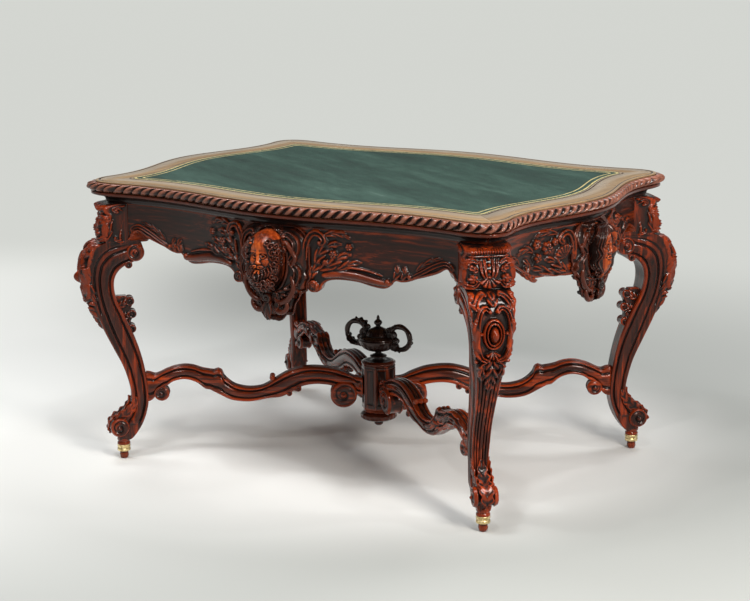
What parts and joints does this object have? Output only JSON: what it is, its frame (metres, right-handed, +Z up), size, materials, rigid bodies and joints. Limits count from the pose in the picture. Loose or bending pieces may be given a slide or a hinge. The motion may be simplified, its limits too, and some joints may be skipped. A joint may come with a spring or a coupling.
{
  "type": "library table",
  "caption": "Serpentine library table with a leather top, gadrooned edge, carved apron with heads, cabriole legs and a scrolled cross stretcher holding a covered urn.",
  "frame": {"origin": "on the floor, under the centre of the top", "axes": "+X along the long side, to the right as seen from the front; +Y from front to back; +Z up"},
  "size_m": [1.3874, 1.0904, 0.76],
  "materials": {
    "rosewood": "dark red-brown rosewood, french polished to a gloss",
    "head_wood": "dark red-brown rosewood, polished, rubbed a little lighter on the high points",
    "top_wood": "dark red-brown rosewood, french polished to a gloss",
    "leather": "muted grey-green tooled leather with a double gilt line, semi-matt",
    "brass": "polished, lightly tarnished",
    "secondary_wood": "plain planed oak, unpolished",
    "steel": "plain iron screws"
  },
  "bodies": {
    "root": {"top_core": "secondary_wood", "leather_panel": "leather", "border_front": "top_wood", "border_back": "top_wood", "border_left": "top_wood", "border_right": "top_wood", "gadroon_front": "top_wood", "gadroon_back": "top_wood", "gadroon_left": "top_wood", "gadroon_right": "top_wood", "cove_front": "top_wood", "cove_back": "top_wood", "cove_left": "top_wood", "cove_right": "top_wood", "rail_front": "rosewood", "rail_back": "rosewood", "rail_left": "rosewood", "rail_right": "rosewood", "cartouche_front": "rosewood", "cartouche_back": "rosewood", "cartouche_left": "rosewood", "cartouche_right": "rosewood", "head_front": "head_wood", "head_back": "head_wood", "head_left": "head_wood", "head_right": "head_wood", "leg_front_left": "rosewood", "leg_front_right": "rosewood", "leg_back_left": "rosewood", "leg_back_right": "rosewood", "collar_front_left": "brass", "collar_front_right": "brass", "collar_back_left": "brass", "collar_back_right": "brass", "toe_front_left": "rosewood", "toe_front_right": "rosewood", "toe_back_left": "rosewood", "toe_back_right": "rosewood", "arm_front_left": "rosewood", "arm_front_right": "rosewood", "arm_back_left": "rosewood", "arm_back_right": "rosewood", "hub_block": "rosewood", "hub_cap": "rosewood", "hub_drop": "rosewood", "urn_bowl": "rosewood", "urn_lid": "rosewood", "stretcher_dowels": "secondary_wood", "top_bearers": "secondary_wood", "corner_blocks": "secondary_wood", "top_screws": "steel"}
  },
  "joints": []
}
